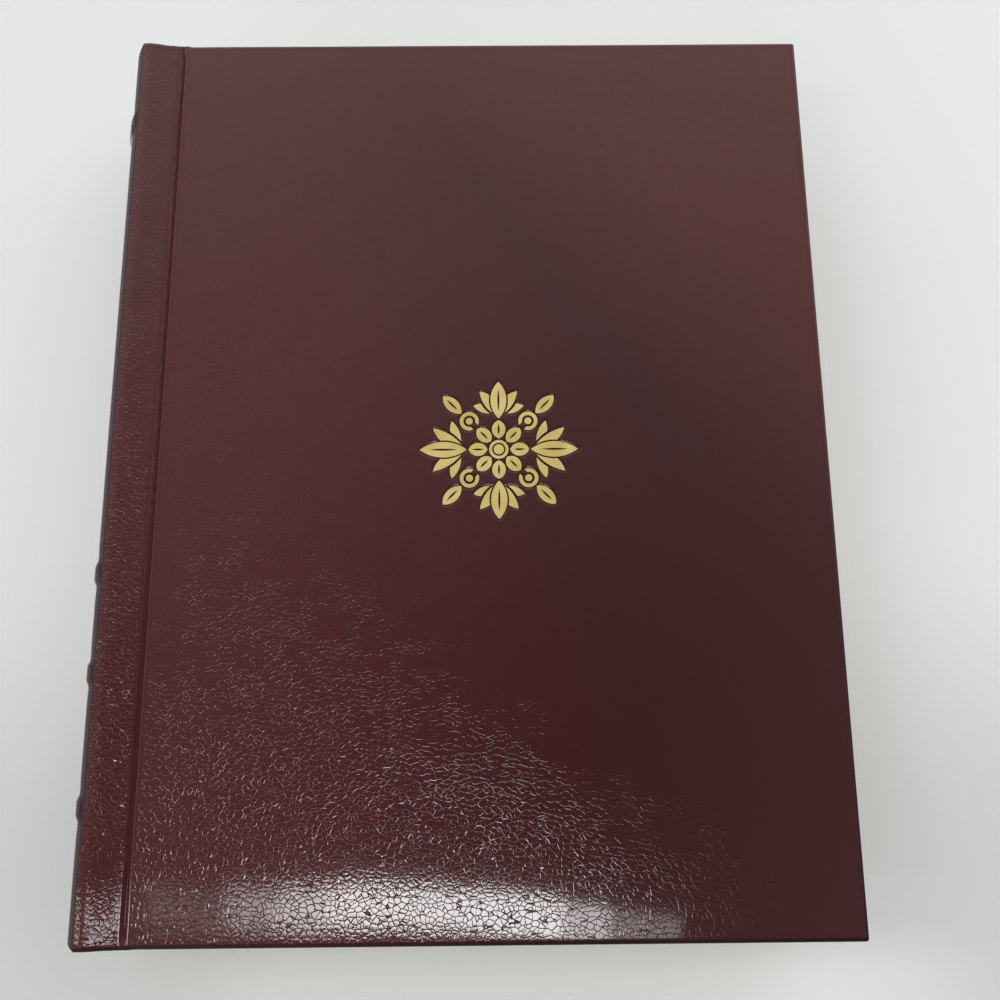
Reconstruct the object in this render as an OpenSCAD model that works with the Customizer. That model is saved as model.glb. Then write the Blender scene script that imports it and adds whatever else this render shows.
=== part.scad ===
// Antique full-leather book: rounded spine, four raised bands, a French groove beside each cover.
// It lies closed on its back cover: +Z is up, the spine is at -X and the head at +Y.
// Inside the modules x is measured from the spine edge, y from the tail and z from the table.
// Every node is then moved so that the origin is under the middle of the whole book.

/* [Case] */
// Width from the spine edge to the fore-edge, leather included
case_w = 222; // [180:1:280]
// Height from tail to head, leather included
case_h = 286; // [272:1:340]
// Thickness of a cover board
board_t = 3; // [2:0.1:4]
// Thickness of the leather
leather_t = 0.8; // [0.6:0.1:1]
// Thickness of the leather where it is pared and turned in
turn_in_t = 0.4; // [0.3:0.1:0.5]
// Width of the leather turned in at head, tail and fore-edge
turn_in_w = 15; // [12:0.5:17]
// Rounding along the outer edges of a cover
edge_r = 1.2; // [0.9:0.1:1.6]
// Rounding of a cover's corners, seen from above
corner_r = 2; // [1.2:0.1:4]

/* [Pages] */
// Thickness of the pages
pages_t = 42; // [30:1:60]
// How far a cover stands past the pages at head, tail and fore-edge
square_w = 3.5; // [3:0.1:5]
// Depth of the hollow along the fore-edge
fore_edge_hollow = 5; // [2:0.5:8]
// Thickness of an endpaper
paper_t = 0.2; // [0.15:0.05:0.3]

/* [Spine] */
// How far the rounded spine stands out past the spine edge
spine_round = 7; // [5:0.5:9]
// Rounding where the spine turns onto a cover side
shoulder_r = 1.6; // [1.3:0.1:2.2]
// Thickness of the moulded card under the spine leather
inlay_t = 1.2; // [0.8:0.1:1.4]
// Distance from the spine edge to which that card reaches over each side
inlay_reach = 10; // [8:0.5:10]
// Thickness of the paper lining glued over the spine of the pages
lining_t = 0.3; // [0.2:0.05:0.4]
// Thickness of the spine cloth
cloth_t = 0.25; // [0.15:0.05:0.3]
// Width of cloth glued to each board
cloth_flap_w = 28; // [20:1:40]
// Distance from the end of the pages to the end of the cloth
cloth_end_gap = 14; // [14:0.5:25]

/* [Strip beside the groove] */
// Height of the front strip over the front cover
strip_h = 2; // [0.5:0.25:3]
// Width of the level part of the strip
strip_flat_w = 4; // [3:0.5:6]

/* [Groove] */
// Distance from the spine edge to the middle of the groove
groove_x = 14; // [13.5:0.5:16]
// Width of the groove
groove_w = 7; // [6.8:0.1:7.4]
// Depth of the groove
groove_d = 1.9; // [1.6:0.1:1.9]
// Width of the slit that lets a cover turn beside the spine
hinge_gap = 0.3; // [0.2:0.05:0.4]

/* [Raised bands] */
// Distance from the tail to the first band
band_1_y = 37.5; // [30:0.5:45]
// Distance from the tail to the second band
band_2_y = 76; // [65:0.5:82]
// Distance from the tail to the third band
band_3_y = 106; // [95:0.5:115]
// Distance from the tail to the fourth band
band_4_y = 258; // [240:0.5:260]
// Width of a band over the leather
band_w = 6; // [5:0.5:8]
// Height of a band in the middle of the spine
band_h = 1.6; // [1:0.1:2.5]
// Height of a band where it dies away at the spine edge
band_end_h = 0.4; // [0.3:0.1:0.8]
// Rounding along the top of a band
band_edge_r = 1.4; // [1:0.1:1.8]

/* [Head and tail bands] */
// Thickness of the sewn bead
bead_d = 2.2; // [1.6:0.1:2.4]
// Length of the bead's tape, glued to the spine of the pages
tape_w = 10; // [6:0.5:13]

/* [Gilt ornament] */
// Distance from the tail to the middle of the ornament
ornament_y = 143; // [120:1:170]
// Half of its width, to the tip of a side palmette
ornament_half_w = 24.5; // [22:0.5:30]
// Half of its height, to the tip of an upper palmette
ornament_half_h = 22; // [20:0.5:30]
// Radius of the ring of petals in its middle
rosette_r = 9.4; // [8:0.1:10]
// Depth to which the stamp pressed the leather
press_d = 0.3; // [0.25:0.05:0.4]
// Thickness of the gold left in it
foil_t = 0.15; // [0.1:0.05:0.2]

/* [Hidden] */
$fn = 48;

BURGUNDY = "#5a2e2e";
GOLD = "#d9c26b";
PAPER = "#e8ddc2";
CREAM = "#efe7d3";
CARD = "#a08c6c";
CLOTH = "#d8d0bc";
SILK = "#8c2f33";

BAND_YS = [band_1_y, band_2_y, band_3_y, band_4_y];

// Levels, from the table up
inner_z = leather_t + board_t;
pages_z = inner_z + 2 * paper_t;
case_t = 2 * pages_z + pages_t;
spine_top = case_t + strip_h;

// The groove, and the slit in its middle at which leather, cloth and endpaper change body
groove_x0 = groove_x - groove_w / 2;
groove_x1 = groove_x + groove_w / 2;
spine_side_x = groove_x - hinge_gap / 2;
cover_side_x = groove_x + hinge_gap / 2;
board_inset = 1;
board_x = groove_x1 - board_inset;
fold_back = 2;
fold_x = groove_x - fold_back;

// The spine is an arc through both spine edges
spine_z = spine_top / 2;
spine_r = (spine_z * spine_z + spine_round * spine_round) / (2 * spine_round);
spine_c = [spine_r - spine_round, spine_z];

// Depths under the outside of the leather at which the layers of the spine start
turn_in_depth = leather_t + inlay_t;
lining_depth = turn_in_depth + turn_in_t;
cloth_depth = lining_depth + lining_t;
pages_depth = cloth_depth + cloth_t;

cloth_y = square_w + cloth_end_gap;
pages_x1 = case_w - square_w;
overlap = 1;
side_steps = 28;
side_step = 0.45;
fillet_steps = 5;
arc_steps = 28;
least_fillet_r = 0.3;
slope_step = 0.01;

// Smooth step: 0 up to t = 0, 1 from t = 1, a half cosine between
function ramp(t) = (1 - cos(180 * min(max(t, 0), 1))) / 2;

function mix(a, b, t) = a * (1 - t) + b * t;

function reversed(list) = [for (i = [len(list) - 1:-1:0]) list[i]];

// Stations from the first stop to the last, each stretch cut into steps of about side_step
function stations(stops) = concat([stops[0]], [
    for (i = [1:1:len(stops) - 1])
        let (a = stops[i - 1], b = stops[i], n = ceil(abs(b - a) / side_step))
        for (k = [1:n]) mix(a, b, k / n)
]);

function lowered(path, drop) = [for (p = path) [p.x, p.y - drop]];

// Height of the leather over a cover's face at x: a strip of height h falls to the groove
function side_h(x, h) =
    h * (1 - ramp((x - strip_flat_w) / (groove_x0 - strip_flat_w)))
    - groove_d * (1 - cos(360 * min(max((x - groove_x0) / groove_w, 0), 1))) / 2;

function side_slope(x, h) =
    (side_h(x + slope_step, h) - side_h(x - slope_step, h)) / (2 * slope_step);

// Point at depth d under the leather of a side, square to its surface
function skin_point(x, d, h) =
    let (s = side_slope(x, h), n = sqrt(1 + s * s))
    [x + d * s / n, case_t + side_h(x, h) - d / n];

// The same for what is glued to the pages: from depth d at the strip it falls to a level depth
function shoulder_point(x, d, h, level) =
    [x, case_t - level + (h - d + level) * (1 - ramp((x - strip_flat_w) / (fold_x - strip_flat_w)))];

function front_point(x, d, level) =
    is_undef(level) ? skin_point(x, d, strip_h) : shoulder_point(x, d, strip_h, level);

// The back side has no raised strip: the table presses it level with the back cover
function back_point(x, d, level) =
    let (p = is_undef(level) ? skin_point(x, d, 0) : shoulder_point(x, d, 0, level))
    [p.x, case_t - p.y];

function on_circle(c, r, a) = [c.x + r * cos(a), c.y + r * sin(a)];

function fillet_r(d) = max(shoulder_r - d, least_fillet_r);

// Centre of the fillet that joins the spine's arc to a side, at height z and depth d
function fillet_c(z, d) =
    let (dz = z - spine_c.y, reach = spine_r - d - fillet_r(d))
    [spine_c.x - sqrt(reach * reach - dz * dz), z];

function front_fillet(d) = fillet_c(spine_top - d - fillet_r(d), d);

function back_fillet(d) = fillet_c(d + fillet_r(d), d);

// Direction of p from the spine's centre, from 0 to 360 degrees
function spine_angle(p) =
    let (a = atan2(p.y - spine_c.y, p.x - spine_c.x)) a < 0 ? a + 360 : a;

// Direction along the arc at depth d, from the front fillet at t = 0 to the back one at t = 1
function arc_angle(d, t) = mix(spine_angle(front_fillet(d)), spine_angle(back_fillet(d)), t);

// Stations of a side from x_end to the strip; the layers meet at the inlay's edge and beside it
function side_stations(x_end) = stations(concat(
    [x_end],
    [for (x = [inlay_reach, inlay_reach - overlap]) if (x < x_end) x],
    x_end > strip_flat_w ? [strip_flat_w] : []
));

// Outline at depth d: front side from x_end to the spine, round the spine, back side to x_end
function spine_path(d, x_end, level) =
    let (r = fillet_r(d), top = front_fillet(d), low = back_fillet(d), xs = side_stations(x_end))
    concat(
        [for (x = xs) front_point(x, d, level)],
        [on_circle(top, r, 90)],
        [for (i = [1:fillet_steps]) on_circle(top, r, mix(90, arc_angle(d, 0), i / fillet_steps))],
        [for (i = [1:arc_steps]) on_circle(spine_c, spine_r - d, arc_angle(d, i / arc_steps))],
        [for (i = [1:fillet_steps]) on_circle(low, r, mix(arc_angle(d, 1), 270, i / fillet_steps))],
        [for (x = reversed(xs)) back_point(x, d, level)]
    );

module placed() translate([-(case_w - spine_round - band_h) / 2, -case_h / 2, 0]) children();

// Extrudes an outline drawn in x and z from y0 to y1
module along_y(y0, y1)
    translate([0, y1, 0]) rotate([90, 0, 0]) linear_extrude(y1 - y0) children();

// Extrudes an outline drawn in y and z from x0 to x1
module along_x(x0, x1)
    translate([x0, 0, 0]) rotate([90, 0, 90]) linear_extrude(x1 - x0) children();

// Turns a piece of the front cover over to the back
module turned_to_back() translate([0, 0, case_t]) mirror([0, 0, 1]) children();

module box_between(a, b) translate(a) cube(b - a);

// Layer of the spine from depth d0 to d1, reaching over both sides to x_end
module spine_layer(d0, d1, x_end, level0, level1)
    polygon(concat(spine_path(d0, x_end, level0), reversed(spine_path(d1, x_end, level1))));

// Rectangle with a corner at 0 and its two upper corners rounded
module round_topped(w, h, r) {
    square([w, h - r]);
    translate([r, 0]) square([w - 2 * r, h]);
    for (x = [r, w - r]) translate([x, h - r]) circle(r);
}

// Cover leather

// Outline of the front cover in x and z at depth d: up the groove's wall, then along the face
module cover_section(d, x0, x1)
    polygon(concat(
        [for (i = [0:side_steps]) front_point(mix(x0, groove_x1, i / side_steps), d)],
        [[x1, case_t - d], [x1, case_t - inner_z], [x0, case_t - inner_z]]
    ));

// Plan of a cover, its two fore-edge corners rounded
module cover_plan(inset) {
    r = corner_r - inset;
    x1 = case_w - inset;
    y1 = case_h - inset;
    translate([0, inset]) square([x1 - r, y1 - inset]);
    translate([0, inset + r]) square([x1, y1 - inset - 2 * r]);
    for (y = [inset + r, y1 - r]) translate([x1 - r, y]) circle(r);
}

// Everything inside the outer surface of the front cover
module cover_envelope() intersection() {
    along_y(0, case_h) cover_section(0, cover_side_x, case_w);
    along_x(0, case_w) round_topped(case_h, case_t, edge_r);
    along_y(0, case_h) round_topped(case_w, case_t, edge_r);
    linear_extrude(case_t) cover_plan(0);
}

// The hollow between the slit and the board, starting drop under the leather of the groove
module joint_hollow(drop, y0, y1) {
    x0 = groove_x - overlap;
    leather_inside = [for (i = [0:side_steps]) front_point(mix(x0, groove_x1, i / side_steps), leather_t)];
    along_y(y0, y1) intersection() {
        polygon(concat(lowered(leather_inside, drop), [[groove_x1, 0], [x0, 0]]));
        square([board_x, case_t]);
    }
}

// Leather that wraps the board, and lines the groove's wall as far as the slit
module cover_leather_body() difference() {
    cover_envelope();
    board_body();
    cloth_flap_body(overlap);
    joint_hollow(turn_in_t, leather_t, case_h - leather_t);
    joint_hollow(0, turn_in_w, case_h - turn_in_w);
}

module front_cover_leather() color(BURGUNDY) placed() difference() {
    cover_leather_body();
    translate([0, 0, case_t - press_d]) linear_extrude(press_d + overlap) ornament_plan();
}

module back_cover_leather() color(BURGUNDY) placed() turned_to_back() cover_leather_body();

// Spine leather

// Leather of both sides from x0 to x1, from depth d down to the turn-in's inner face
module joint_leather(d, x0, x1) {
    xs = stations([x0, if (x0 < inlay_reach) inlay_reach, x1]);
    polygon(concat(
        [for (x = xs) front_point(x, d)],
        reversed(lowered([for (x = xs) front_point(x, leather_t)], turn_in_t))
    ));
    polygon(concat(
        [for (x = xs) back_point(x, d)],
        reversed(lowered([for (x = xs) back_point(x, leather_t)], -turn_in_t))
    ));
}

// The outer skin, closed over the ends of the inlay at head and tail
module spine_skin() intersection() {
    union() {
        along_y(0, case_h) spine_layer(0, leather_t, spine_side_x);
        for (y = [0, case_h - leather_t]) along_y(y, y + leather_t) {
            spine_layer(0, lining_depth, inlay_reach);
            joint_leather(0, inlay_reach - overlap, spine_side_x);
        }
    }
    along_x(-2 * spine_round, case_w) round_topped(case_h, spine_top, edge_r);
}

module spine_turn_ins()
    for (y = [leather_t, case_h - turn_in_w]) along_y(y, y + turn_in_w - leather_t) {
        spine_layer(turn_in_depth, lining_depth, inlay_reach);
        joint_leather(leather_t / 2, inlay_reach, spine_side_x);
    }

module spine_leather() color(BURGUNDY) placed() difference() {
    union() {
        spine_skin();
        spine_turn_ins();
        for (y = BAND_YS) band_body(y, 0, leather_t / 2);
    }
    for (y = BAND_YS) band_body(y, leather_t, leather_t);
}

// Boards and spine card

// A board, its inner face pressed in under the turned-in leather and the cloth
module board_body() difference() {
    intersection() {
        along_y(leather_t, case_h - leather_t) intersection() {
            cover_section(leather_t, groove_x, case_w - leather_t);
            translate([board_x, 0]) square([case_w, case_t]);
        }
        linear_extrude(case_t) cover_plan(leather_t);
    }
    difference() {
        box_between([0, 0, 0], [case_w, case_h, case_t - inner_z + turn_in_t]);
        box_between([0, turn_in_w, 0], [case_w - turn_in_w, case_h - turn_in_w, case_t]);
    }
    cloth_flap_body(overlap);
}

module front_board() color(CARD) placed() board_body();

module back_board() color(CARD) placed() turned_to_back() board_body();

module spine_inlay() color(CARD) placed()
    along_y(leather_t, case_h - leather_t) spine_layer(leather_t, turn_in_depth, inlay_reach);

// Raised bands

// Height of a band at t along the arc: full in the middle, low at both spine edges
function band_height(t) = band_end_h + (band_h - band_end_h) * sin(180 * t);

// Outline of a band in y and height over its foot: upright sides and a rounded top
band_rounded_share = 0.7;
function band_section(w, r, h) =
    let (quarter = [for (a = [0:30:90]) [w / 2 - r * (1 - cos(a)), h * (1 - band_rounded_share * (1 - sin(a)))]])
    concat(
        [[-w / 2, 0]],
        [for (p = quarter) [-p.x, p.y]],
        reversed(quarter),
        [[w / 2, 0]]
    );

// Solid through rings of [y, height] points, carried round the spine's arc at depth d
module swept_round_spine(d, t0, t1, rings) {
    n = len(rings[0]);
    last = len(rings) - 1;
    points = [
        for (i = [0:last], p = rings[i])
            let (q = on_circle(spine_c, spine_r - d + p.y, arc_angle(d, mix(t0, t1, i / last))))
            [q.x, p.x, q.y]
    ];
    polyhedron(points, concat(
        [[for (j = [0:n - 1]) j], [for (j = [n - 1:-1:0]) last * n + j]],
        [
            for (i = [0:last - 1], j = [0:n - 1])
                let (k = (j + 1) % n)
                each [
                    [i * n + j, (i + 1) * n + j, (i + 1) * n + k],
                    [i * n + j, (i + 1) * n + k, i * n + k]
                ]
        ]
    ));
}

// A band across the spine at y, at depth d under its leather, with its foot at depth foot
module band_body(y, d, foot)
    translate([0, y, 0]) swept_round_spine(foot, 1 / arc_steps, 1 - 1 / arc_steps, [
        for (i = [1:arc_steps - 1])
            band_section(band_w - 2 * d, band_edge_r - d, band_height(i / arc_steps) + foot - d)
    ]);

module raised_band(i) color(CARD) placed() band_body(BAND_YS[i], leather_t, leather_t);

// Pages and what is glued to them

pages_half_t = pages_t / 2;
hollow_r = (pages_half_t * pages_half_t + fore_edge_hollow * fore_edge_hollow) / (2 * fore_edge_hollow);

// All the pages: backed shoulders beside the round spine, and a hollow fore-edge
module text_block() color(PAPER) placed() along_y(square_w, case_h - square_w) difference() {
    polygon(concat(
        [[pages_x1, case_t - pages_z]],
        spine_path(pages_depth, fold_x, pages_z),
        [[pages_x1, pages_z]]
    ));
    translate([pages_x1 - fore_edge_hollow + hollow_r, case_t / 2]) circle(hollow_r, $fn = 180);
}

// The cloth follows the spine of the pages, then runs level into the joint
module spine_cloth() color(CLOTH) placed() along_y(cloth_y, case_h - cloth_y)
    spine_layer(cloth_depth, pages_depth, spine_side_x, inner_z - cloth_t, inner_z);

// The part of the cloth that is glued to the front board; a cut for it adds extra below
module cloth_flap_body(extra)
    box_between(
        [cover_side_x, cloth_y, case_t - inner_z - extra],
        [board_x + cloth_flap_w, case_h - cloth_y, case_t - inner_z + cloth_t]
    );

module front_cloth_flap() color(CLOTH) placed() cloth_flap_body(0);

module back_cloth_flap() color(CLOTH) placed() turned_to_back() cloth_flap_body(0);

module spine_lining() color(CARD) placed()
    along_y(square_w, case_h - square_w) spine_layer(lining_depth, cloth_depth, strip_flat_w);

// Outline of the bead, a circle with a flat side towards the pages
bead_sides = 12;
function bead_section() =
    let (half = 180 / bead_sides, r = bead_d / 2 / cos(half))
    [for (i = [0:bead_sides - 1]) let (a = half * (2 * i + 1)) [-r * cos(a), r * sin(a)]];

// Bead along the spine end of the pages, with its tape glued down beside the cloth
module end_band() {
    bead_y = square_w - bead_d / 2;
    translate([0, bead_y, 0])
        swept_round_spine(cloth_depth + cloth_t / 2 + bead_d / 2, 0, 1, [for (i = [0:arc_steps]) bead_section()]);
    along_y(bead_y, square_w + tape_w) spine_layer(cloth_depth, pages_depth, strip_flat_w);
}

module tail_band() color(SILK) placed() end_band();

module head_band() color(SILK) placed() translate([0, case_h, 0]) mirror([0, 1, 0]) end_band();

// Endpapers: one leaf is pasted to the board, the other is the flyleaf, folded beside the groove

module pastedown_body()
    box_between(
        [cover_side_x, square_w, case_t - inner_z - paper_t],
        [pages_x1, case_h - square_w, case_t - inner_z]
    );

module front_pastedown() color(CREAM) placed() pastedown_body();

module back_pastedown() color(CREAM) placed() turned_to_back() pastedown_body();

module flyleaf_body() {
    box_between(
        [fold_x, square_w, case_t - pages_z],
        [pages_x1, case_h - square_w, case_t - pages_z + paper_t]
    );
    box_between(
        [fold_x, square_w, case_t - pages_z],
        [spine_side_x, case_h - square_w, case_t - inner_z]
    );
}

module front_flyleaf() color(CREAM) placed() flyleaf_body();

module back_flyleaf() color(CREAM) placed() turned_to_back() flyleaf_body();

// Ornament: a rosette between four palmettes, with an open curl and a leaf on each diagonal

ornament_x = (groove_x1 + case_w) / 2;
// Leather left bare between two pieces of foil
bare = 0.5;
vein_w = 0.64;
curl_r = 3;
curl_line_w = 1.15;

// Radius of the arc whose middle stands rise off its chord
function arc_r(chord, rise) = (chord * chord / 4 + rise * rise) / (2 * rise);

// Pointed leaf from the origin along +x, between an arc left_w off its chord and one right_w off it
module leaf(length, left_w, right_w) intersection() {
    translate([length / 2, left_w - arc_r(length, left_w)]) circle(arc_r(length, left_w), $fn = 180);
    translate([length / 2, arc_r(length, right_w) - right_w]) circle(arc_r(length, right_w), $fn = 180);
}

// Leaf with a bare vein along its middle
module veined_leaf(length, width) difference() {
    leaf(length, width / 2, width / 2);
    translate([0.2 * length, 0]) leaf(0.6 * length, vein_w / 2, vein_w / 2);
}

// Ring with a gap towards -x, and a dot in its middle
module curl() {
    difference() {
        circle(curl_r);
        circle(curl_r - curl_line_w);
        translate([-2 * curl_r, -curl_r / 3]) square([2 * curl_r, 2 * curl_r / 3]);
    }
    circle(curl_r - curl_line_w - 1.5 * bare);
}

// Palmette along +x: a middle leaf, and two pairs of side leaves that start behind it
module palmette(length) {
    middle_w = 5;
    inner_foot = [1.2, 0.9];
    inner_turn = 33;
    inner_length = 0.76 * length;
    inner_w = [1.1, 2.2];
    outer_foot = [1.9, 1.5];
    outer_turn = 70;
    outer_length = 0.56 * length;
    outer_w = [1.1, 1.7];
    veined_leaf(length, middle_w);
    for (side = [0, 1]) mirror([0, side, 0]) {
        difference() {
            translate(inner_foot) rotate(inner_turn) leaf(inner_length, inner_w.x, inner_w.y);
            translate([-bare, 0]) leaf(length + 2 * bare, middle_w / 2 + bare, middle_w / 2 + bare);
        }
        difference() {
            translate(outer_foot) rotate(outer_turn) leaf(outer_length, outer_w.x, outer_w.y);
            translate(inner_foot - [bare, 0]) rotate(inner_turn)
                leaf(inner_length + 2 * bare, inner_w.x + bare, inner_w.y + bare);
        }
    }
}

// The eye, the ring round it and the eight petals
module rosette() {
    eye_r = 0.17 * rosette_r;
    ring_r = 0.32 * rosette_r;
    petal_x = ring_r + bare;
    petal_w = 0.45 * rosette_r;
    circle(eye_r);
    difference() {
        circle(ring_r);
        circle(eye_r + bare);
    }
    for (a = [0:45:315]) rotate(a) translate([petal_x, 0]) veined_leaf(rosette_r - petal_x, petal_w);
}

module ornament_plan() translate([ornament_x, ornament_y]) {
    palmette_x = rosette_r + bare;
    curl_x = palmette_x + curl_r;
    end_leaf_x = curl_x + curl_r + bare;
    end_leaf_w = 4;
    rosette();
    difference() {
        union() {
            for (a = [0, 180]) rotate(a) translate([palmette_x, 0]) palmette(ornament_half_w - palmette_x);
            for (a = [90, 270]) rotate(a) translate([palmette_x, 0]) palmette(ornament_half_h - palmette_x);
        }
        for (a = [45:90:315]) rotate(a) translate([curl_x, 0]) circle(curl_r + bare);
    }
    for (a = [45:90:315]) rotate(a) {
        translate([curl_x, 0]) curl();
        translate([end_leaf_x, 0]) veined_leaf(ornament_half_w - end_leaf_x, end_leaf_w);
    }
}

module gilt_ornament() color(GOLD) placed()
    translate([0, 0, case_t - press_d]) linear_extrude(foil_t) ornament_plan();

front_cover_leather();
spine_leather();
back_cover_leather();
gilt_ornament();
front_board();
back_board();
spine_inlay();
raised_band(0);  // raised_band_1
raised_band(1);  // raised_band_2
raised_band(2);  // raised_band_3
raised_band(3);  // raised_band_4
text_block();
spine_cloth();
front_cloth_flap();
back_cloth_flap();
spine_lining();
head_band();
tail_band();
front_pastedown();
back_pastedown();
front_flyleaf();
back_flyleaf();
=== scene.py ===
"""Antique leather book: the finish of every surface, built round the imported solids.

Places are worked out in millimetres in the book's own measure, as in the part's source: x from the spine
edge, y from the tail, z from the table. to_frame() turns them into the frame's metres.
"""

import math

import bmesh
import bpy
import numpy as np
from mathutils import Matrix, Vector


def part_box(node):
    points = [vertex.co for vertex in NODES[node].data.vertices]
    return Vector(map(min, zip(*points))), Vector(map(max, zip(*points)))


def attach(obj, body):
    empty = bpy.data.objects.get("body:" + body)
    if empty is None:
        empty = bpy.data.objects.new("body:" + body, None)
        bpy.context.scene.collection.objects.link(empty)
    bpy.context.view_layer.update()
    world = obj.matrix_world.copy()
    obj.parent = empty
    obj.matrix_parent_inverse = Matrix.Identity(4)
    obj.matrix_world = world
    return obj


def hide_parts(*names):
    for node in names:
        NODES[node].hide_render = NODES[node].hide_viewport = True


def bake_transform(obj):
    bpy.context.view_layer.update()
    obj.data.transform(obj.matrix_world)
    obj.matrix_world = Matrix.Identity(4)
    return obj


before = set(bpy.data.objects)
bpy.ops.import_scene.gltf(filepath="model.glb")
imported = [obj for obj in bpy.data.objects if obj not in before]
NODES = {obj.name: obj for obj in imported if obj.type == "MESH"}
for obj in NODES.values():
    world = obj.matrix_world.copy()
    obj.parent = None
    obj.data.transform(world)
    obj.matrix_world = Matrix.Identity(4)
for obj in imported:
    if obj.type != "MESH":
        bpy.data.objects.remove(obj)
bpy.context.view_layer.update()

MM = 0.001

# Sizes of the case, from the frame
COVER_LO, COVER_HI = (np.array(corner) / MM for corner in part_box("front_cover_leather"))
CASE_W = 222.0
SPINE_X = COVER_HI[0] - CASE_W
TAIL_Y = COVER_LO[1]
CASE_H = COVER_HI[1] - COVER_LO[1]
CASE_T = COVER_HI[2]
SPINE_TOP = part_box("spine_leather")[1].z / MM

# Leather and what lies under it
LEATHER_T = 0.8
TURN_IN_T = 0.4
TURN_IN_W = 15.0
BOARD_T = 3.0
JOINT_T = LEATHER_T + TURN_IN_T + 0.03
INLAY_DEPTH = 2.4
INLAY_REACH = 10.0
LINING_T = 0.3
CLOTH_T = 0.25
BLOCK_DEPTH = INLAY_DEPTH + LINING_T + CLOTH_T
INNER_Z = LEATHER_T + BOARD_T
PAPER_T = 0.2
PAPER_GAP = 0.02
PAGES_Z = INNER_Z + 2 * PAPER_T
SQUARE_W = 3.5
CORNER_R = 0.9
EDGE_R = 1.2
LOWER_EDGE_R = 0.9

# Strip and groove beside the spine
STRIP_H = SPINE_TOP - CASE_T
STRIP_FLAT_W = 2.5
STRIP_END_X = 13.2
STRIP_EASE = 0.25
STRIP_RIM_W = 3.0
STRIP_RIM_D = 0.08
GROOVE_X = 13.9
GROOVE_W = 2.4
GROOVE_D = 0.9
GROOVE_FILL = 0.92
GROOVE_FILL_W = 2.8
GROOVE_X0 = GROOVE_X - GROOVE_W / 2
GROOVE_X1 = GROOVE_X + GROOVE_W / 2
SEAM_X = GROOVE_X0 + GROOVE_W / 4
BOARD_X = 16.5
CALM_W = 1.3
CALM_FADE_W = 1.2

# Where the endpapers fold, under the joint
FLARE_X = 9.4
FOLD_X = 12.0

# The spine: an arc under the leather, and a slightly fuller curve outside
SPINE_ROUND = 7.0
SPINE_Z = SPINE_TOP / 2
SPINE_R = (SPINE_Z**2 + SPINE_ROUND**2) / (2 * SPINE_ROUND)
SPINE_CX = SPINE_R - SPINE_ROUND
SPINE_POWER = 2.5
SHOULDER_X = 0.8
SHOULDER_R = 0.6
BAND_YS = [37.5, 76.0, 106.0, 258.0]
BAND_H = 1.0
BAND_END_H = 0.4
BAND_CROWN_W = 1.7
BAND_FLANK_W = 2.3
BAND_DIP_AT = 5.2
BAND_DIP_W = 1.6
BAND_DIP_D = 0.10
# Painted shade on the spine's rim: it darkens from 5 to 17 degrees of tilt and fades again from 60 to 66
# degrees
RIM_TILT_DEG = (5, 17)
RIM_TILT_END_DEG = (60, 66)

ORNAMENT_X = (GROOVE_X1 + CASE_W) / 2
ORNAMENT_Y = 143.0
ORNAMENT_REACH = (26.0, 23.5)
PRESS_D = 0.3
PRESS_W = 0.75
FOIL_PROUD = 0.05
SWELL_H = 0.022

# Steps of the covers' grids, coarse and fine
FIELD_STEP = 2.2
FOIL_STEP = 0.36
BACK_STEP = 3.0
POCKET_STEP = 12.0


def to_frame(points):
    """Book millimetres to frame metres: shifted to the spine edge and the tail, then scaled."""
    return (np.asarray(points, float) + (SPINE_X, TAIL_Y, 0.0)) * MM


def frame_x(x):
    return (SPINE_X + x) * MM


def frame_y(y):
    return (TAIL_Y + y) * MM


def ramp(t):
    """Smooth step: (1 - cos(pi t)) / 2 between t = 0 and t = 1, level outside."""
    return (1 - np.cos(np.pi * np.clip(t, 0, 1))) / 2


def mix(a, b, t):
    return a * (1 - t) + b * t


def stations(*stops):
    """Numbers from the first stop on: each (end, step) adds an evenly cut stretch up to end."""
    out = [np.array([stops[0]], float)]
    for end, step in stops[1:]:
        start = out[-1][-1]
        count = max(1, math.ceil(abs(end - start) / step - 1e-9))
        out.append(np.linspace(start, end, count + 1)[1:])
    return np.concatenate(out)


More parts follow.
